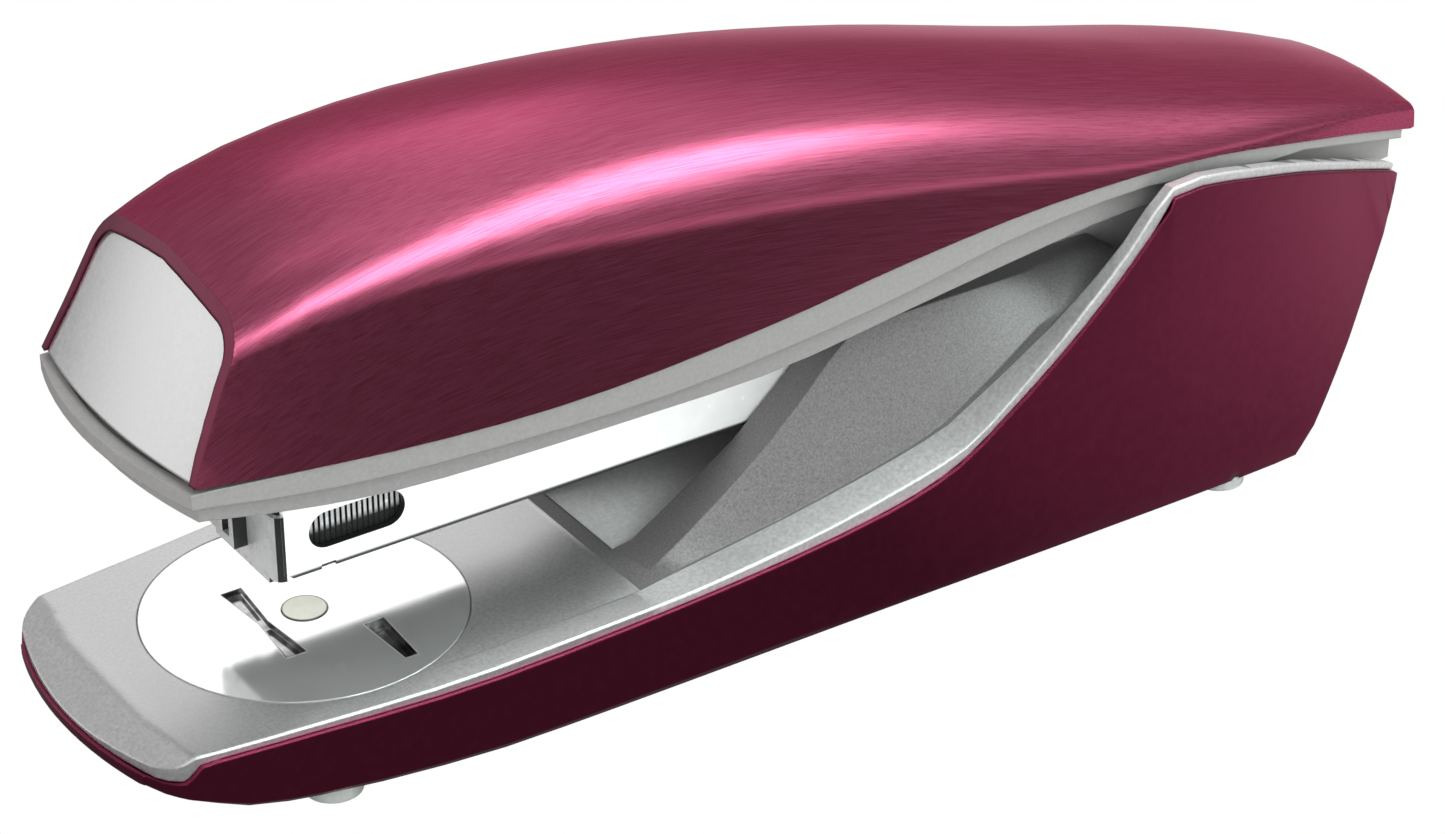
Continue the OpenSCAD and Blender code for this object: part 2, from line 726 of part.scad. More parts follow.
module rail_stop() {
    color("#9a9da2")
        difference() {
            translate([stop_x, -channel_in, floor_z])
                cube([stop_t, 2 * channel_in, 10]);
            translate([0, 0, rod_z])
                rotate([0, 90, 0])
                    cylinder(r = rod_r, h = 60);
        }
}

module guide_rod() {
    color("#c4c6ca")
        translate([strip_x + 8, 0, rod_z])
            rotate([0, 90, 0])
                cylinder(r = rod_r, h = stop_x + stop_t - strip_x - 8);
}

// A glued strip of staples: the crowns touch and each leg shows as a fine ridge.
module staple_strip() {
    count = floor(strip_length / staple_wire);
    pitch = strip_length / count;
    color("#cfd0d3")
        difference() {
            translate([strip_x, -staple_w / 2, floor_z])
                cube([strip_length, staple_w, staple_leg]);
            translate([strip_x - 1, -staple_w / 2 + staple_wire, floor_z - 1])
                cube([strip_length + 2, staple_w - 2 * staple_wire, staple_leg + 1 - staple_wire]);
            for (i = [1:count - 1])
                translate([strip_x + i * pitch, 0, 0])
                    both_sides()
                        linear_extrude(60)
                            polygon([[-0.1, staple_w / 2 + 0.01], [0, staple_w / 2 - 0.12],
                                [0.1, staple_w / 2 + 0.01]]);
        }
}

pusher_x = strip_x + strip_length;
module pusher() {
    color("#2b2c30")
        difference() {
            union() {
                translate([pusher_x, -staple_w / 2, floor_z + 0.15])
                    cube([pusher_length, staple_w, staple_leg]);
                translate([pusher_x + 1, -4, crown_z])
                    cube([pusher_length - 1, 8, rod_z + 2 - crown_z]);
            }
            translate([pusher_x - 1, -rail_w / 2 - slide_gap, floor_z - 1])
                cube([pusher_length + 2, rail_w + 2 * slide_gap, staple_leg + 1 - staple_wire]);
            translate([pusher_x - 1, 0, rod_z])
                rotate([0, 90, 0])
                    cylinder(r = rod_r + fit, h = pusher_length + 2);
        }
}

module pusher_spring() {
    start = pusher_x + pusher_length;
    color("#8d9096")
        translate([start, 0, rod_z])
            rotate([0, 90, 0])
                coil(rod_r + 0.65, 0.4, stop_x - start, 16);
}

roof_z = above(43.4);
roof_t = 1.5;
module handle_spring() {
    color("#8d9096")
        translate([spring_x, 0, floor_z])
            coil(4.8, 1, roof_z - floor_z, 7);
}

// ---------------------------------------------------------------- handle

cover_stations = concat(steps(-80, -64, 5), steps(-60, 54, 19), steps(58, 80, 5)) * stretch_x;

// Right half of the cover's cross-section at x, drawn in by inset, from the edge to the crown.
function cover_half(x, inset, drop) =
    let (h = half_cover(x) - inset,
        e = cover_low(x),
        t = cover_top(x) - inset,
        r = max(along(shoulder_r, x) - inset, 0.3),
        rise = along(crown_rise, x),
        lean = along(side_lean, x),
        flat = concat(
            [[h, e], [h, e + (t - r - e) * 0.5]],
            [for (a = [0:15:90]) [h - r + r * cos(a), t - r + r * sin(a)]],
            [for (k = [0.82, 0.63, 0.42, 0.21]) [(h - r) * k, t]]))
    concat(drop > 0 ? [[h, e - drop]] : [],
        [for (p = flat)
            let (f = (p[1] - e) / (t - e))
            [p[0] - lean * f, p[1] - rise * pow(p[0] / h, 2) * f]]);

module cover_solid(inset, drop, end) {
    xs = concat([for (x = cover_stations) if (x < end - 1) x], [end - 0.7]);
    last = [for (p = cover_half(end - 0.7, inset, drop))
        [max(p[0] - 0.15, 0.05), p[1] - (p[1] > cover_low(end) + 1 ? 0.4 : 0)]];
    loft(concat([for (x = xs) ring(x, cover_half(x, inset, drop))], [ring(end, last)]));
}

// A large leaning drum whose front gives the nose its tilt and its slight bulge.
nose_drum_r = 82;
module nose_drum(depth) {
    translate([front_x + 6.87, 0, above(41)])
        rotate([0, nose_lean, 0])
            translate([nose_drum_r + depth, 0, -90])
                cylinder(r = nose_drum_r, h = 180, $fn = 200);
}

module cover_shell() {
    color("#7a3550")
        difference() {
            intersection() {
                cover_solid(0, 0, tail_x);
                nose_drum(0);
            }
            cover_solid(cover_t, 8, tail_x - cover_t);
        }
}

// Threaded studs welded inside the cover, which the cover screws pull down onto the roof.
module cover_studs() {
    color("#85888d")
        difference() {
            intersection() {
                cover_boss_sites()
                    cylinder(r = 2.6, h = 40);
                cover_solid(cover_t + 0.02, 0, tail_x - 10);
            }
            cover_boss_sites()
                cylinder(r = screw_r - 0.05, h = 5);
        }
}

module cover_boss_sites() {
    for (x = [-28, 16])
        translate([x * stretch_x, 0, roof_z + roof_t]) children();
}

module nose_plate() {
    color("#c2c2c6")
        difference() {
            intersection() {
                cover_solid(cover_t + fit, 0, tail_x - 20);
                nose_drum(0.35);
            }
            nose_drum(0.35 + nose_t);
        }
}

frame_drum_r = 50;
module frame_outline(inset, front) {
    xs = steps(front_x + 5, 81 * stretch_x, 32);
    intersection() {
        polygon(concat(
            [for (x = xs) [x, half_cover(x) - inset]],
            [for (i = [len(xs) - 1:-1:0]) [xs[i], -half_cover(xs[i]) + inset]]));
        union() {
            translate([front + frame_drum_r, 0])
                circle(r = frame_drum_r, $fn = 160);
            translate([-50, -30])
                square([150, 60]);
        }
    }
}

module frame_band(inset, front, wall, low, high, last) {
    xs = steps(front_x + 4, last, 26);
    intersection() {
        translate([0, 0, 20])
            linear_extrude(30)
                difference() {
                    frame_outline(inset, front);
                    frame_outline(inset + wall, front + wall);
                }
        side_plate(concat([for (x = xs) [x, above(along(low, x))]],
            [for (i = [len(xs) - 1:-1:0]) [xs[i], above(along(high, xs[i]))]]), -30, 30);
    }
}

module handle_frame() {
    step_front = front_x + 5.6;
    color("#6f7074")
        difference() {
            union() {
                frame_band(wall_in, step_front + 1.7, frame_wall, wall_edge, wall_crest,
                    79.6 * stretch_x);
                frame_band(step_in, step_front, wall_in - step_in + 0.2, step_edge, step_crest,
                    80 * stretch_x);
                roof();
                both_sides()
                    side_plate([[58 * stretch_x, above(33.6)], [pin_x - 4.5, pin_z - 1.5],
                        [pin_x, pin_z], [pin_x + 4.2, pin_z], [pin_x + 4.2, pin_z + 2.6],
                        [pin_x - 6.5, pin_z + 5.5], [58 * stretch_x, above(39.5)]],
                        frame_ear_in, frame_ear_in + frame_ear_t);
                pin_bore_lugs();
                cross_bar(60 * stretch_x, 1.5, above(37), 2.4);
                cross_bar(pin_x + 3.8, 1.3, pin_z - 0.2, 3);
            }
            pin_bore(pin_x, pin_z, pin_r + pin_gap, frame_ear_in + frame_ear_t + 0.01);
            both_sides()
                translate([pin_x, pin_half + 0.2, pin_z])
                    rotate([90, 0, 0])
                        cylinder(r = pin_r + 1.3, h = 0.9);
            cover_boss_sites()
                cylinder(r = screw_r + fit, h = 10, center = true);
            rivet_sites()
                cylinder(r = 1.1, h = 20, center = true);
        }
}

// A bar across the frame from one side wall to the other.
module cross_bar(x, thickness, low, height) {
    half = half_cover(x) - wall_in - 0.6;
    translate([x, -half, low])
        cube([thickness, 2 * half, height]);
}

module pin_bore_lugs() {
    both_sides()
        translate([pin_x, frame_ear_in + frame_ear_t, pin_z])
            rotate([90, 0, 0])
                cylinder(r = lug_r - 0.2, h = frame_ear_t);
}

module roof() {
    intersection() {
        translate([0, 0, roof_z])
            linear_extrude(roof_t)
                frame_outline(wall_in + 0.3, front_x + 13);
        translate([front_x, -30, 0])
            cube([36 * stretch_x - front_x, 60, 60]);
    }
}

module rivet_sites() {
    for (s = [-1, 1])
        translate([blade_x + 11, s * 3.4, roof_z]) children();
}

blade_half = staple_w / 2 - 0.1;
module driver_blade() {
    low = crown_z + 0.4;
    color("#b4b6ba")
        difference() {
            union() {
                translate([blade_x, -blade_half, low])
                    cube([blade_t, 2 * blade_half, roof_z - low]);
                translate([blade_x, -blade_half, roof_z - 0.6])
                    cube([15, 2 * blade_half, 0.6]);
            }
            rivet_sites()
                cylinder(r = 1.1, h = 20, center = true);
        }
}

module driver_holder() {
    color("#4a4b4f")
        difference() {
            translate([blade_x + blade_t, -5, roof_z - 3.1])
                cube([14, 10, 2.5]);
            rivet_sites()
                cylinder(r = 1.1, h = 20, center = true);
        }
}

module driver_rivets() {
    color("#c9c9cc")
        rivet_sites() {
            translate([0, 0, -3.1])
                cylinder(r = 1.1, h = 3.1 + roof_t);
            translate([0, 0, roof_t])
                cylinder(r = 1.9, h = 0.7);
            translate([0, 0, -3.7])
                cylinder(r = 1.9, h = 0.6);
        }
}

module cover_screws() {
    color("#c9c9cc")
        cover_boss_sites() {
            translate([0, 0, -roof_t - 1.2])
                difference() {
                    cylinder(r = 2.2, h = 1.2);
                    for (a = [0, 90])
                        rotate(a)
                            translate([-1.5, -0.25, -0.1])
                                cube([3, 0.5, 0.7]);
                }
            translate([0, 0, -roof_t - 0.1])
                cylinder(r = screw_r - 0.05, h = roof_t + 4);
        }
}

base_shell();
base_liner();
bottom_plate();
rubber_feet();
hinge_bracket();
hinge_pin();
pin_clips();
bracket_screws();
base_screws();
lift_spring();
anvil_plate();
anvil_stem();
anvil_clip();
anvil_spring();
magazine_channel();
magazine_nose();
staple_rail();
rail_stop();
guide_rod();
staple_strip();
pusher();
pusher_spring();
handle_spring();
cover_shell();
nose_plate();
handle_frame();
driver_blade();
driver_holder();
driver_rivets();
cover_studs();
cover_screws();
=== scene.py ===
import bpy
import json
import math
import numpy as np
from mathutils import Vector, Matrix


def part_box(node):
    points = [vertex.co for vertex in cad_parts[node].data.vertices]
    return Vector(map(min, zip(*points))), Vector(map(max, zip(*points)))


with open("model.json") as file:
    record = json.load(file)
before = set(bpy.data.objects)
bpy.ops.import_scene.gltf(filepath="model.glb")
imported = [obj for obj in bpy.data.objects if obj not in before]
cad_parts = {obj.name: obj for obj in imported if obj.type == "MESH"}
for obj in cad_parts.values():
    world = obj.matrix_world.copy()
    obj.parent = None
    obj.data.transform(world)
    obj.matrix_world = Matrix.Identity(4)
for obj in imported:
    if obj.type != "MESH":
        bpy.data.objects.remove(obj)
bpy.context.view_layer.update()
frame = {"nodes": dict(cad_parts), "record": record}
nodes = frame["nodes"]
scene = bpy.context.scene


# ---------------------------------------------------------------- sizes, in metres, from the frame

MM = 0.001
STAPLES = 58
anvil_low, anvil_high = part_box("anvil_plate")
anvil_x = (anvil_low.x + anvil_high.x) / 2
deck_top = anvil_high.z
button_low, button_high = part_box("anvil_stem")
button_radius = (button_high.x - button_low.x) / 2
channel_low, channel_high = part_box("magazine_channel")
strip_low, strip_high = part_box("staple_strip")
staple_pitch = (strip_high.x - strip_low.x) / STAPLES


# ---------------------------------------------------------------- camera

LENS = 97.2
SENSOR = 36.0
CLIP_NEAR = 0.01
CLIP_FAR = 20.0
CAMERA_PLACE = Vector((-0.2035, -0.2951, 0.22435))
CAMERA_RIGHT = Vector((0.829, -0.559, 0.0))
CAMERA_BACK = Vector((-0.483, -0.716, 0.5045))


def photo_camera():
    """The photograph's viewpoint, fitted to its outlines, with the horizon level."""
    data = bpy.data.cameras.new("camera")
    data.lens = LENS
    data.sensor_width = SENSOR
    data.clip_start = CLIP_NEAR
    data.clip_end = CLIP_FAR
    cam = bpy.data.objects.new("camera", data)
    scene.collection.objects.link(cam)
    scene.camera = cam
    right = CAMERA_RIGHT.normalized()
    up = CAMERA_BACK.normalized().cross(right).normalized()
    back = right.cross(up).normalized()
    turn = Matrix((right, up, back)).transposed().to_4x4()
    cam.matrix_world = Matrix.Translation(CAMERA_PLACE) @ turn


photo_camera()


# ---------------------------------------------------------------- node helpers

WHITE = (1, 1, 1, 1)
NOISE_LOW = 0.3
NOISE_HIGH = 0.7
NOISE_ROUGHNESS = 0.55
BEVEL_SAMPLES = 6


def material(name):
    m = bpy.data.materials.new(name)
    m.use_nodes = True
    nt = m.node_tree
    nt.nodes.clear()
    out = nt.nodes.new("ShaderNodeOutputMaterial")
    bsdf = nt.nodes.new("ShaderNodeBsdfPrincipled")
    nt.links.new(bsdf.outputs[0], out.inputs["Surface"])
    return m, nt, bsdf


def shader_of(m):
    return m.node_tree.nodes["Principled BSDF"]


def node(nt, kind, **settings):
    n = nt.nodes.new(kind)
    for key, value in settings.items():
        setattr(n, key, value)
    return n


def place_of(nt):
    """The place on the piece, in metres of the shared frame."""
    return node(nt, "ShaderNodeTexCoord").outputs["Object"]


def brushed(nt):
    """The place on the cover, with Z measured from the line of its crest."""
    return node(nt, "ShaderNodeAttribute", attribute_name="brush").outputs["Vector"]


def axis_of(m, axis):
    """One axis of the place on the piece."""
    split = node(m.node_tree, "ShaderNodeSeparateXYZ")
    m.node_tree.links.new(place_of(m.node_tree), split.inputs[0])
    return split.outputs[axis]


def scaled(nt, source, scale):
    m = node(nt, "ShaderNodeMapping")
    m.inputs["Scale"].default_value = scale
    nt.links.new(source, m.inputs["Vector"])
    return m.outputs[0]


def noise(nt, source, scale, detail, stretch):
    n = node(nt, "ShaderNodeTexNoise")
    n.inputs["Scale"].default_value = scale
    n.inputs["Detail"].default_value = detail
    n.inputs["Roughness"].default_value = NOISE_ROUGHNESS
    nt.links.new(scaled(nt, source, stretch), n.inputs["Vector"])
    return n.outputs[0]


def span(nt, value, low, high, a=0.0, b=1.0):
    """Runs from low to high as value runs from a to b, and stays there beyond."""
    m = node(nt, "ShaderNodeMapRange")
    m.inputs["From Min"].default_value = a
    m.inputs["From Max"].default_value = b
    m.inputs["To Min"].default_value = low
    m.inputs["To Max"].default_value = high
    nt.links.new(value, m.inputs["Value"])
    return m.outputs[0]


def mix(nt, factor, a, b):
    m = node(nt, "ShaderNodeMix", data_type="RGBA")
    nt.links.new(factor, m.inputs["Factor"])
    m.inputs["A"].default_value = (*a, 1)
    m.inputs["B"].default_value = (*b, 1)
    return m.outputs["Result"]


def tint_by(m, value, low, high, colour):
    """Blends a material towards colour as value runs from low to high."""
    nt = m.node_tree
    base = shader_of(m).inputs["Base Color"]
    old = base.links[0].from_socket
    both = node(nt, "ShaderNodeMix", data_type="RGBA")
    nt.links.new(span(nt, value, 0, 1, low, high), both.inputs["Factor"])
    nt.links.new(old, both.inputs["A"])
    both.inputs["B"].default_value = (*colour, 1)
    nt.links.new(both.outputs["Result"], base)


def bump(nt, bsdf, height, strength, distance, edge=0.0):
    """Fine relief, over edges that look rounded to the radius edge."""
    b = node(nt, "ShaderNodeBump")
    b.inputs["Strength"].default_value = strength
    b.inputs["Distance"].default_value = distance
    nt.links.new(height, b.inputs["Height"])
    if edge > 0:
        e = node(nt, "ShaderNodeBevel", samples=BEVEL_SAMPLES)
        e.inputs["Radius"].default_value = edge
        nt.links.new(e.outputs[0], b.inputs["Normal"])
    nt.links.new(b.outputs[0], bsdf.inputs["Normal"])


def finish_material(name, dark, light, metallic, rough, grain, stretch=(1, 1, 1), relief=0.1,
                    depth=0.02 * MM, detail=2.0, coat=0.0, coat_rough=0.1, edge=0.0, source=place_of):
    """A base colour that wanders between dark and light, with matching roughness and relief.

    The grain is the scale of the noise, in cells per metre."""
    m, nt, bsdf = material(name)
    fine = noise(nt, source(nt), grain, detail, stretch)
    share = span(nt, fine, 0, 1, NOISE_LOW, NOISE_HIGH)
    nt.links.new(mix(nt, share, dark, light), bsdf.inputs["Base Color"])
    nt.links.new(span(nt, fine, *rough, NOISE_LOW, NOISE_HIGH), bsdf.inputs["Roughness"])
    bsdf.inputs["Metallic"].default_value = metallic
    bsdf.inputs["Coat Weight"].default_value = coat
    bsdf.inputs["Coat Roughness"].default_value = coat_rough
    bump(nt, bsdf, fine, relief, depth, edge)
    return m


def grey(level):
    return (level, level, level)


# ---------------------------------------------------------------- garnet finishes

BRUSH_STRETCH = 0.022
SHEEN_TINT = (0.8, 0.2, 0.34, 1)


def cover_finish():
    """Brushed lacquer over metal, its grain drawn out along the length of the cover."""
    m = finish_material("garnet_brushed", (0.39, 0.054, 0.124), (0.49, 0.100, 0.192), 1.0,
                        (0.26, 0.30), 7000, stretch=(BRUSH_STRETCH, 1, 1), relief=0.02,
                        depth=0.01 * MM, coat=0.4, coat_rough=0.28, source=brushed)
    shader_of(m).inputs["Specular Tint"].default_value = SHEEN_TINT
    return m


cover_mat = cover_finish()
# painted shade: a darker copy of the garnet for the cover's cut edge round the nose
rim_shade_mat = finish_material("garnet_edge_painted_shade", (0.13, 0.020, 0.045), (0.16, 0.026, 0.055), 0.7,
                          (0.3, 0.36), 900, relief=0.03, edge=0.3 * MM)
shell_mat = finish_material("garnet_satin", (0.25, 0.030, 0.078), (0.28, 0.035, 0.088), 1.0,
                            (0.22, 0.27), 900, relief=0.03, edge=0.4 * MM)


# ---------------------------------------------------------------- silver finishes of the liner, with painted light and shade

liner_mat = finish_material("silver_paint", (0.570, 0.563, 0.565), (0.720, 0.711, 0.713), 0.88,
                            (0.30, 0.40), 2600, relief=0.25, depth=0.03 * MM, detail=3, edge=0.3 * MM)
# partly painted shade: the tower's walls have a coarse blasted grain, and their dark grey stands for the
# shade under the handle
blasted_shaded_cheek_mat = finish_material("silver_blasted_painted_shade", (0.14, 0.13, 0.13), (0.235, 0.225, 0.227), 0.5,
                            (0.46, 0.6), 4200, relief=0.5, depth=0.04 * MM, detail=3, edge=0.3 * MM)
# painted highlight: a brighter copy of the silver paint for the outer ledge, which catches light from
# above
lit_ledge_mat = finish_material("silver_ledge_painted_highlight", (0.560, 0.552, 0.554), (0.740, 0.729, 0.732), 0.75,
                            (0.40, 0.50), 2300, relief=0.3, depth=0.03 * MM, detail=3, edge=0.3 * MM)
# painted light: a pale, less metallic copy of the silver that lifts the shade in the recess by the tower
lit_recess_mat = finish_material("silver_floor_painted_light", grey(0.54), grey(0.68), 0.15,
                             (0.45, 0.55), 2300, relief=0.3, depth=0.03 * MM, detail=3)


# ---------------------------------------------------------------- finishes of the handle

plate_mat = finish_material("nose_satin", grey(0.66), grey(0.74), 0.9,
                            (0.3, 0.4), 2200, relief=0.08, edge=0.3 * MM)
band_mat = finish_material("frame_grey", (0.270, 0.261, 0.258), (0.310, 0.299, 0.296), 0.3,
                           (0.36, 0.46), 2200, relief=0.08, edge=0.3 * MM)


# ---------------------------------------------------------------- finishes of the anvil

BUTTON_EDGE_SHADE = (0.06, 0.06, 0.055)
SHADE_RING_INSIDE = 0.2 * MM
SHADE_RING_OUTSIDE = 0.02 * MM


def button_finish():
    """Cream, with a painted shade line where the button meets the plate."""
    m = finish_material("button", (0.76, 0.75, 0.65), (0.83, 0.82, 0.72), 0.0,
                        (0.3, 0.4), 900, relief=0.03)
    nt = m.node_tree
    from_centre = node(nt, "ShaderNodeVectorMath", operation="DISTANCE")
    from_centre.inputs[1].default_value = (anvil_x, 0, 0)
    nt.links.new(scaled(nt, place_of(nt), (1, 1, 0)), from_centre.inputs[0])
    # painted shade: a dark ring just inside the button's edge, for the shade of its bevel
    tint_by(m, from_centre.outputs["Value"], button_radius - SHADE_RING_INSIDE,
            button_radius - SHADE_RING_OUTSIDE, BUTTON_EDGE_SHADE)
    return m


chrome_mat = finish_material("chrome", grey(0.90), grey(0.95), 0.85,
                             (0.10, 0.13), 160, relief=0.02, edge=0.2 * MM)
# painted shade: darker steel for the sunk grooves of the anvil
shaded_groove_mat = finish_material("groove_steel_painted_shade", grey(0.10), grey(0.62), 1.0,
                             (0.12, 0.2), 420, relief=0.05)
button_mat = button_finish()


# ---------------------------------------------------------------- finishes of the magazine

EDGE_HEIGHT = 0.55 * MM
EDGE_FADE = 0.3 * MM
LOWER_EDGE_SHADE = grey(0.03)
STAPLE_GAP_SHADE = grey(0.008)
GAP_FADE = 0.30
GAP_FULL = 0.17


def sheet_finish():
    """Bright nickel sheet, with painted shade along its lower edge."""
    m = finish_material("nickel_sheet", grey(0.90), grey(0.95), 0.05,
                        (0.2, 0.28), 500, relief=0.02, edge=0.2 * MM)
    edge_top = channel_low.z + EDGE_HEIGHT
    # painted shade: a dark band along the channel's lower edge, where it meets the anvil
    tint_by(m, axis_of(m, "Z"), edge_top, edge_top - EDGE_FADE, LOWER_EDGE_SHADE)
    return m


def wire_finish():
    """Bright wire with painted shade in the gap between one staple and the next.

    The distance from a gap is counted in pitches, from 0 in the gap to 0.5 on the wire."""
    m = finish_material("staple_wire", (0.70, 0.70, 0.71), (0.86, 0.86, 0.87), 0.4,
                        (0.18, 0.3), 900, relief=0.05)
    nt = m.node_tree
    count = node(nt, "ShaderNodeMapRange", clamp=False)
    count.inputs["From Min"].default_value = strip_low.x
    count.inputs["From Max"].default_value = strip_low.x + staple_pitch
    nt.links.new(axis_of(m, "X"), count.inputs["Value"])
    from_gap = node(nt, "ShaderNodeMath", operation="PINGPONG")
    from_gap.inputs[1].default_value = 0.5
    nt.links.new(count.outputs[0], from_gap.inputs[0])
    # painted shade: the wire darkens in the gap between neighbouring staples
    tint_by(m, from_gap.outputs[0], GAP_FADE, GAP_FULL, STAPLE_GAP_SHADE)
    return m


nose_mat = finish_material("magazine_steel", grey(0.60), grey(0.72), 0.6,
                           (0.26, 0.34), 700, relief=0.04)
magazine_mat = sheet_finish()
wire_mat = wire_finish()


# ---------------------------------------------------------------- finishes inside and underneath

steel_mat = finish_material("zinc_steel", (0.46, 0.47, 0.48), (0.60, 0.61, 0.62), 1.0,
                            (0.26, 0.4), 500, relief=0.08)
spring_mat = finish_material("spring_steel", (0.26, 0.26, 0.28), (0.38, 0.38, 0.40), 1.0,
                             (0.24, 0.36), 700, relief=0.05)
# the pusher's own black moulding; also put on as painted shade in the staple windows
black_and_shade_mat = finish_material("black_moulded_and_painted_shade", (0.010, 0.010, 0.011), (0.018, 0.018, 0.02), 0.0,
                            (0.38, 0.5), 1500, relief=0.12)
sheet_mat = finish_material("black_sheet", (0.018, 0.018, 0.02), (0.028, 0.028, 0.03), 0.3,
                            (0.4, 0.55), 900, relief=0.12)
rubber_mat = finish_material("foot_rubber", (0.30, 0.31, 0.30), (0.36, 0.37, 0.36), 0.0,
                             (0.6, 0.75), 1400, relief=0.15)


# ---------------------------------------------------------------- every node gets its finish

CREASE_ANGLE = 32
WELD_DISTANCE = 0.003 * MM
FINISH_OF_SLOT = {
    "garnet_cover": cover_mat, "garnet_shell": shell_mat, "silver_liner": liner_mat,
    "nose_satin": plate_mat, "frame_plastic": band_mat, "anvil_chrome": chrome_mat,
    "anvil_button": button_mat, "magazine_chrome": magazine_mat, "staple_wire": wire_mat,
    "plain_steel": steel_mat, "spring_steel": spring_mat, "pusher_plastic": black_and_shade_mat,
    "dark_plate": sheet_mat, "foot_rubber": rubber_mat,
}


def smooth(o):
    """Rounds the shading of a meshed body and keeps its real edges crisp."""
    o.data.polygons.foreach_set("use_smooth", [True] * len(o.data.polygons))
    weld = o.modifiers.new("weld", "WELD")
    weld.merge_threshold = WELD_DISTANCE
    split = o.modifiers.new("split", "EDGE_SPLIT")
    split.split_angle = math.radians(CREASE_ANGLE)
    split.use_edge_sharp = False
    even = o.modifiers.new("even", "WEIGHTED_NORMAL")
    even.keep_sharp = True


def repaint(mesh, m, faces):
    """Gives some faces of a mesh another finish."""
    mesh.materials.append(m)
    for face in faces:
        face.material_index = len(mesh.materials) - 1


def finish_nodes():
    for part in frame["record"]["subparts"]:
        o = nodes[part["node"]]
        o.data.materials.clear()
        o.data.materials.append(FINISH_OF_SLOT[part["material_slot"]])
        smooth(o)


finish_nodes()


# ---------------------------------------------------------------- liner: deck, ledge, recess, cheeks

STATION = 2.5 * MM
TOWER_FRONT = anvil_x + 28.7 * MM
CHEEK_FRONT = TOWER_FRONT + 0.5 * MM
LEDGE_FRONT = TOWER_FRONT - 0.7 * MM
RECESS_REAR = 20 * MM
RECESS_DEPTH = 1 * MM
CHEEK_RISE = 0.4 * MM
SLOT_REACH = 9 * MM
LEDGE_WIDE = 3.4 * MM
LEDGE_NARROW = 1.5 * MM
NARROWING_FRONT = 12 * MM
NARROWING_LENGTH = 25 * MM
FACING_UP = 0.9


def widest_by_station(mesh):
    """The half-width of a mesh near each station along X."""
    widest = {}
    for v in mesh.vertices:
        k = round(v.co.x / STATION)
        widest[k] = max(widest.get(k, 0), abs(v.co.y))
    return widest


def ledge_width(x):
    share = min(max((x - NARROWING_FRONT) / NARROWING_LENGTH, 0), 1)
    return LEDGE_WIDE + (LEDGE_NARROW - LEDGE_WIDE) * share


def finish_liner():
    """The tower and the slot in it are coarsely blasted and painted darker as shade, the outer ledge is
    painted bright as a highlight, and the recess is painted pale as light.
    """
    mesh = nodes["base_liner"].data
    widest = widest_by_station(mesh)
    cheeks, ledges, recess = [], [], []
    for face in mesh.polygons:
        x, y, z = face.center
        k = round(x / STATION)
        inset = max(widest.get(near, 0) for near in (k - 1, k, k + 1)) - abs(y)
        sunk = z < deck_top - RECESS_DEPTH
        if x > LEDGE_FRONT and z > deck_top - RECESS_DEPTH and inset < ledge_width(x):
            ledges.append(face)
        elif CHEEK_FRONT < x < RECESS_REAR and sunk and face.normal.z > FACING_UP:
            recess.append(face)
        elif x > CHEEK_FRONT and (z > deck_top + CHEEK_RISE or abs(y) < SLOT_REACH):
            cheeks.append(face)
    repaint(mesh, blasted_shaded_cheek_mat, cheeks)
    repaint(mesh, lit_ledge_mat, ledges)
    repaint(mesh, lit_recess_mat, recess)


finish_liner()


# ---------------------------------------------------------------- magazine: nose, and painted shade in the staple window

FACING_SIDE = 0.7
WINDOW_REAR = -40 * MM
WINDOW_CEILING = 30 * MM
WINDOW_FRONT_MARGIN = 2 * MM
WINDOW_MARGIN = 1 * MM
FACING_ALONG = 0.5
SHADE_FROM = 0.48
SHADE_FULL = 0.30
WINDOW_SHADE = grey(0.035)


def finish_nose():
    """The nose of the magazine is plain steel, and its flank on the near side is dark."""
    mesh = nodes["magazine_nose"].data
    mesh.materials[0] = nose_mat
    repaint(mesh, black_and_shade_mat, [f for f in mesh.polygons if f.normal.y < -FACING_SIDE])


def is_window_wall(face):
    """True for the walls that line the staple windows, one in each side of the channel."""
    x, y, z = face.center
    in_length = channel_low.x + WINDOW_FRONT_MARGIN < x < WINDOW_REAR
    in_height = channel_low.z + WINDOW_MARGIN < z < WINDOW_CEILING
    in_side = abs(y) > channel_high.y - WINDOW_MARGIN
    return in_length and in_height and in_side and abs(face.normal.y) < FACING_ALONG


def shade_window():
    """The walls of the windows are painted black as shade, and the staples sink into painted shade low in
    them.
    """
    mesh = nodes["magazine_channel"].data
    walls = [face for face in mesh.polygons if is_window_wall(face)]
    # painted shade: the window walls take the black finish, for the shade inside the channel
    repaint(mesh, black_and_shade_mat, walls)
    sill = min(face.center.z for face in walls)
    height = max(face.center.z for face in walls) - sill
    tint_by(wire_mat, axis_of(wire_mat, "Z"), sill + SHADE_FROM * height,
            sill + SHADE_FULL * height, WINDOW_SHADE)


finish_nose()
shade_window()


# ---------------------------------------------------------------- anvil: painted shade in the stamped grooves

GROOVE_BOTTOM = 0.9 * MM
GROOVE_TOP = 0.1 * MM
GROOVE_REACH = 14 * MM


def is_groove(face):
    x, y, z = face.center
    sunk = anvil_high.z - GROOVE_BOTTOM < z < anvil_high.z - GROOVE_TOP
    return sunk and (x - anvil_x) ** 2 + y ** 2 < GROOVE_REACH ** 2


def shade_grooves():
    """The stamped grooves of the anvil are a little rougher than its polished face, and painted darker as
    shade.
    """
    mesh = nodes["anvil_plate"].data
    repaint(mesh, shaded_groove_mat, [face for face in mesh.polygons if is_groove(face)])


shade_grooves()


# ---------------------------------------------------------------- cover: brushing, and painted shade on the cut edge

CREST_BIN = 4 * MM
CREST_DEGREE = 3
NOSE_REAR = -60 * MM


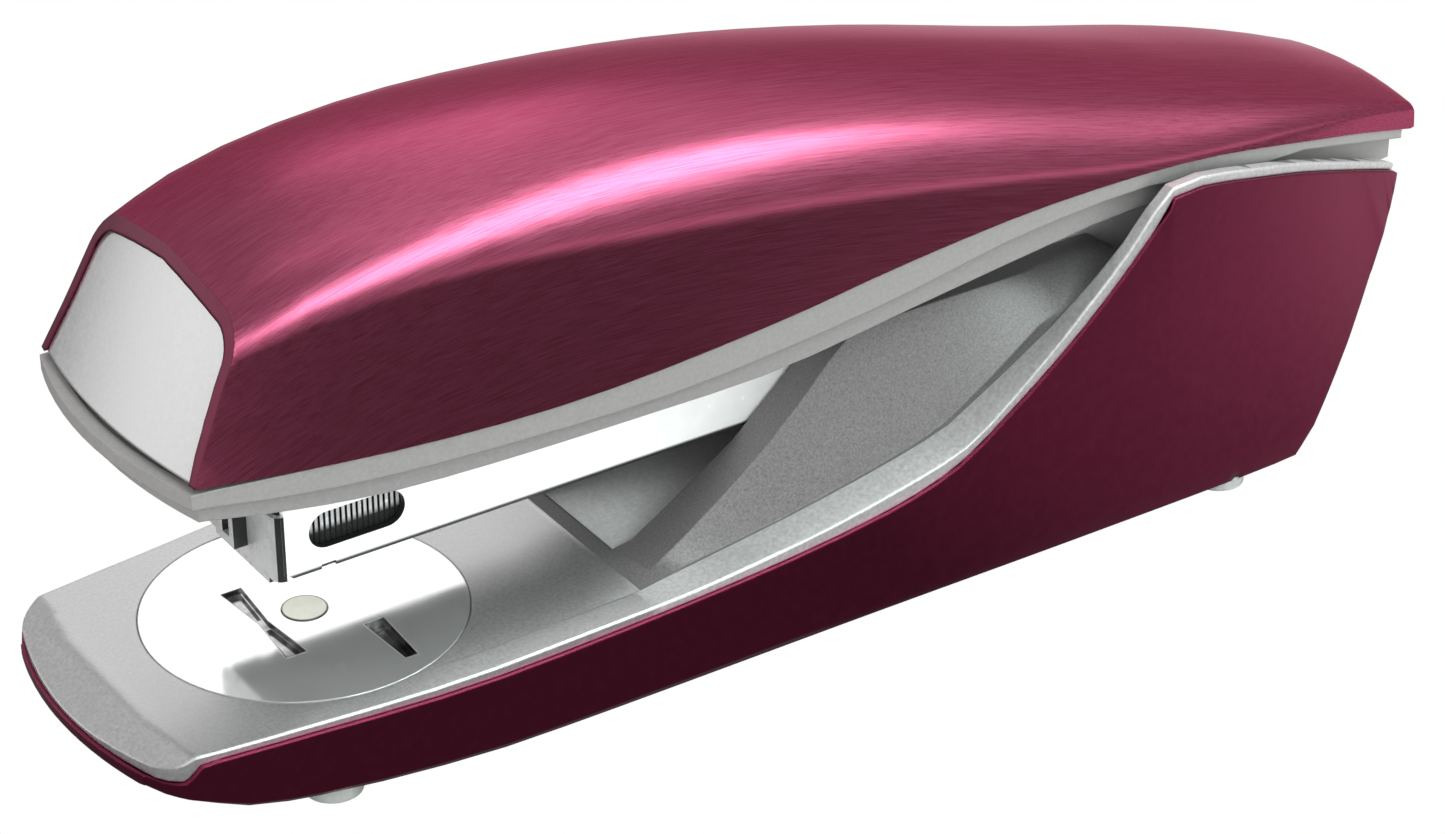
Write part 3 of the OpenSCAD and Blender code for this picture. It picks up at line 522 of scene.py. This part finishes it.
def brush_cover():
    """Stores each point's place for the brushing, with Z measured from a smooth line along the crest."""
    mesh = nodes["cover_shell"].data
    spots = np.array([v.co for v in mesh.vertices])
    bins = np.round(spots[:, 0] / CREST_BIN)
    crest = [(k, spots[bins == k, 2].max()) for k in sorted(set(bins))]
    crest_line = np.poly1d(np.polyfit(*zip(*crest), CREST_DEGREE))
    from_crest = spots[:, 2] - crest_line(spots[:, 0] / CREST_BIN)
    brush = mesh.attributes.new("brush", "FLOAT_VECTOR", "POINT")
    brush.data.foreach_set("vector", np.column_stack((spots[:, :2], from_crest)).ravel())


def shade_rim():
    """The cover's cut edge round the nose is painted darker than its brushed skin, as shade."""
    mesh = nodes["cover_shell"].data
    rim = [f for f in mesh.polygons if f.normal.x < -FACING_SIDE and f.center.x < NOSE_REAR]
    repaint(mesh, rim_shade_mat, rim)


brush_cover()
shade_rim()


# ---------------------------------------------------------------- floor

FLOOR_SIZE = 14
FLOOR_GREY = grey(0.8)
MIRROR_NOSE = 0.13
MIRROR_NEAR = 0.14
MIRROR_FAR = 0.85
MIRROR_X = (0.01, 0.17)
MIRROR_Y = (-0.12, -0.06)


def glow(nt):
    e = nt.nodes.new("ShaderNodeEmission")
    e.inputs["Color"].default_value = WHITE
    return e


def blend(nt, factor, a, b):
    x = nt.nodes.new("ShaderNodeMixShader")
    nt.links.new(factor, x.inputs[0])
    nt.links.new(a.outputs[0], x.inputs[1])
    nt.links.new(b.outputs[0], x.inputs[2])
    return x


def painted_floor_reflection(nt):
    """A painted reflection of the floor, seen only in mirrors: dim by the part's nose and on its near
    side, pale beyond its hinge.
    """
    dim = glow(nt)
    axes = nt.nodes.new("ShaderNodeSeparateXYZ")
    nt.links.new(place_of(nt), axes.inputs[0])
    grow = node(nt, "ShaderNodeMapRange")
    grow.inputs["From Min"].default_value = MIRROR_X[0]
    grow.inputs["From Max"].default_value = MIRROR_X[1]
    grow.inputs["To Min"].default_value = MIRROR_NOSE
    nt.links.new(span(nt, axes.outputs["Y"], MIRROR_NEAR, MIRROR_FAR, *MIRROR_Y), grow.inputs["To Max"])
    nt.links.new(axes.outputs["X"], grow.inputs["Value"])
    nt.links.new(grow.outputs[0], dim.inputs["Strength"])
    return dim


def stage_floor():
    """A plain floor that reads white to the eye, lights the part softly, and shows a painted, graded
    reflection in mirrors.
    """
    bpy.ops.mesh.primitive_plane_add(size=FLOOR_SIZE, location=(0, 0, 0))
    o = bpy.context.object
    o.name = "floor"
    m = bpy.data.materials.new("floor")
    m.use_nodes = True
    nt = m.node_tree
    nt.nodes.clear()
    out = nt.nodes.new("ShaderNodeOutputMaterial")
    path = nt.nodes.new("ShaderNodeLightPath")
    soft = nt.nodes.new("ShaderNodeBsdfDiffuse")
    soft.inputs["Color"].default_value = (*FLOOR_GREY, 1)
    # painted reflection: glossy rays see the floor's graded glow instead of its plain grey
    mirror = blend(nt, path.outputs["Is Glossy Ray"], soft, painted_floor_reflection(nt))
    seen = blend(nt, path.outputs["Is Camera Ray"], mirror, glow(nt))
    nt.links.new(seen.outputs[0], out.inputs["Surface"])
    o.data.materials.append(m)


stage_floor()


# ---------------------------------------------------------------- lamps

PART_MIDDLE = Vector((0, 0, 0.035))
SHOULDER = Vector((-0.02, -0.015, 0.055))
LONG_LAMP_REACH = 0.85
LONG_LAMP_FRONT = Vector((-0.11, -0.86, 0.50)) * LONG_LAMP_REACH
LONG_LAMP_REAR = Vector((0.69, 0.02, 0.67)) * LONG_LAMP_REACH
LONG_LAMP_COLOUR = (0.83, 1.0, 0.965)


def lamp(name, width, height, level, colour=(1, 1, 1)):
    """A rectangular lamp whose face has the brightness level."""
    d = bpy.data.lights.new(name, "AREA")
    d.shape = "RECTANGLE"
    d.size = width
    d.size_y = height
    d.color = colour
    d.energy = level * math.pi * width * height
    o = bpy.data.objects.new(name, d)
    scene.collection.objects.link(o)
    return o


def softbox(name, direction, distance, width, height, level):
    """A lamp that stands in a direction from the middle of the part and faces it."""
    o = lamp(name, width, height, level)
    o.location = PART_MIDDLE + Vector(direction).normalized() * distance
    o.rotation_euler = (PART_MIDDLE - o.location).to_track_quat("-Z", "Y").to_euler()


def long_lamp():
    """Reaches from the front to above the rear, and faces the shoulder of the cover."""
    length = LONG_LAMP_REAR - LONG_LAMP_FRONT
    o = lamp("strip", width=length.length, height=0.20, level=6.8, colour=LONG_LAMP_COLOUR)
    away = (LONG_LAMP_FRONT + LONG_LAMP_REAR).normalized()
    along = length.normalized()
    o.matrix_world = Matrix((along, away.cross(along), away)).transposed().to_4x4()
    o.location = SHOULDER + (LONG_LAMP_FRONT + LONG_LAMP_REAR) / 2


softbox("back_panel", (0.36, 0.76, 0.55), distance=1.3, width=0.42, height=0.34, level=1.02)
softbox("top_panel", (0.44, 0.18, 0.86), distance=1.1, width=1.25, height=1.25, level=0.52)
long_lamp()
softbox("nose_panel", (-0.70, 0.68, 0.16), distance=1.1, width=0.9, height=0.6, level=0.85)
softbox("side_panel", (0.62, -0.75, 0.04), distance=1.2, width=1.2, height=0.22, level=0.8)
softbox("front_panel", (-0.55, -0.80, 0.30), distance=1.0, width=0.8, height=0.6, level=1.2)


# ---------------------------------------------------------------- world

SKY_LEVEL = 1.35
SKY_IN_MIRRORS = 0.42


def studio_world():
    """An even white sky that is dimmer where the part mirrors it."""
    world = bpy.data.worlds.new("studio")
    scene.world = world
    world.use_nodes = True
    nt = world.node_tree
    nt.nodes.clear()
    out = nt.nodes.new("ShaderNodeOutputWorld")
    path = nt.nodes.new("ShaderNodeLightPath")
    skies = []
    for level in (SKY_LEVEL, SKY_IN_MIRRORS):
        sky = nt.nodes.new("ShaderNodeBackground")
        sky.inputs["Color"].default_value = WHITE
        sky.inputs["Strength"].default_value = level
        skies.append(sky)
    both = blend(nt, path.outputs["Is Glossy Ray"], *skies)
    nt.links.new(both.outputs[0], out.inputs["Surface"])


studio_world()
scene.view_settings.view_transform = "Standard"
